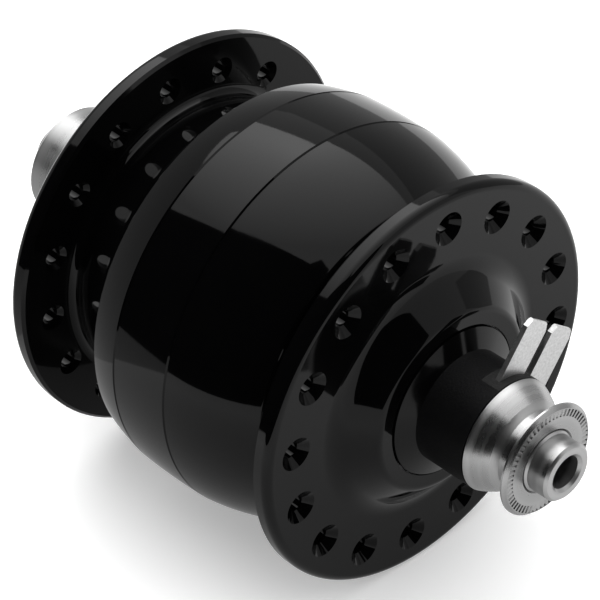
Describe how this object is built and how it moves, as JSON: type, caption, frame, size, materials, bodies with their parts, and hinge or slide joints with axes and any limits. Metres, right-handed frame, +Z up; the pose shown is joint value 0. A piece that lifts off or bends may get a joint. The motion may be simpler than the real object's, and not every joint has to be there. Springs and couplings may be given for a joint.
{
  "type": "hub dynamo",
  "caption": "Bicycle front hub with a built-in generator: a flanged drum turns on a fixed hollow axle, and two flat blades feed the lamp.",
  "frame": {"origin": "on the axle's axis, midway between the two faces that the fork grips", "axes": "+Y along the axle away from the connector, +Z up, +X forward"},
  "size_m": [0.064, 0.1074, 0.064],
  "materials": {
    "shell_black": "deep gloss black",
    "cover_black": "gloss black",
    "sleeve_black": "matte black, finely textured",
    "insert_black": "matte black",
    "turned_aluminium": "fine turned, satin",
    "axle_steel": "turned bright steel",
    "blade_metal": "satin, tinned",
    "magnet_iron": "plain steel",
    "magnet_black": "dark sintered",
    "stator_iron": "pressed soft iron",
    "coil_copper": "enamelled copper",
    "bobbin_plastic": "natural nylon",
    "bearing_steel": "ground bearing steel",
    "shield_steel": "pressed sheet",
    "seal_rubber": "matte rubber"
  },
  "bodies": {
    "fixed_axle": {"hollow_axle": "axle_steel", "stator_core": "stator_iron", "near_claw_plate": "stator_iron", "far_claw_plate": "stator_iron", "coil_bobbin": "bobbin_plastic", "coil_winding": "coil_copper", "signal_lead": "coil_copper", "return_lead": "coil_copper", "connector_sleeve": "sleeve_black", "connector_insert": "insert_black", "signal_blade": "blade_metal", "return_blade": "blade_metal", "far_spacer": "sleeve_black", "near_locknut": "turned_aluminium", "far_locknut": "turned_aluminium", "near_bearing_inner_ring": "bearing_steel", "far_bearing_inner_ring": "bearing_steel", "near_cover_ring": "cover_black", "far_cover_ring": "cover_black", "near_shaft_seal": "seal_rubber", "far_shaft_seal": "seal_rubber"},
    "drum": {"near_flange_shell": "shell_black", "far_flange_shell": "shell_black", "center_band": "shell_black", "back_iron_ring": "magnet_iron", "magnets": "magnet_black", "near_bearing_outer_ring": "bearing_steel", "far_bearing_outer_ring": "bearing_steel", "near_bearing_shields": "shield_steel", "far_bearing_shields": "shield_steel", "near_bearing_clip": "bearing_steel", "far_bearing_clip": "bearing_steel"},
    "near_balls": {"near_bearing_ball_row": "bearing_steel"},
    "far_balls": {"far_bearing_ball_row": "bearing_steel"}
  },
  "joints": [
    {"name": "hub_spin", "type": "hinge", "parent": "fixed_axle", "child": "drum", "pos_m": [0, 0, 0], "axis": [0, 1, 0], "continuous": true},
    {"name": "near_balls_roll", "type": "hinge", "parent": "fixed_axle", "child": "near_balls", "pos_m": [0, -0.0244, 0], "axis": [0, 1, 0], "continuous": true},
    {"name": "far_balls_roll", "type": "hinge", "parent": "fixed_axle", "child": "far_balls", "pos_m": [0, 0.0244, 0], "axis": [0, 1, 0], "continuous": true}
  ],
  "couplings": [
    {"joint": "near_balls_roll", "follows": "hub_spin", "ratio": 0.593},
    {"joint": "far_balls_roll", "follows": "hub_spin", "ratio": 0.593}
  ]
}
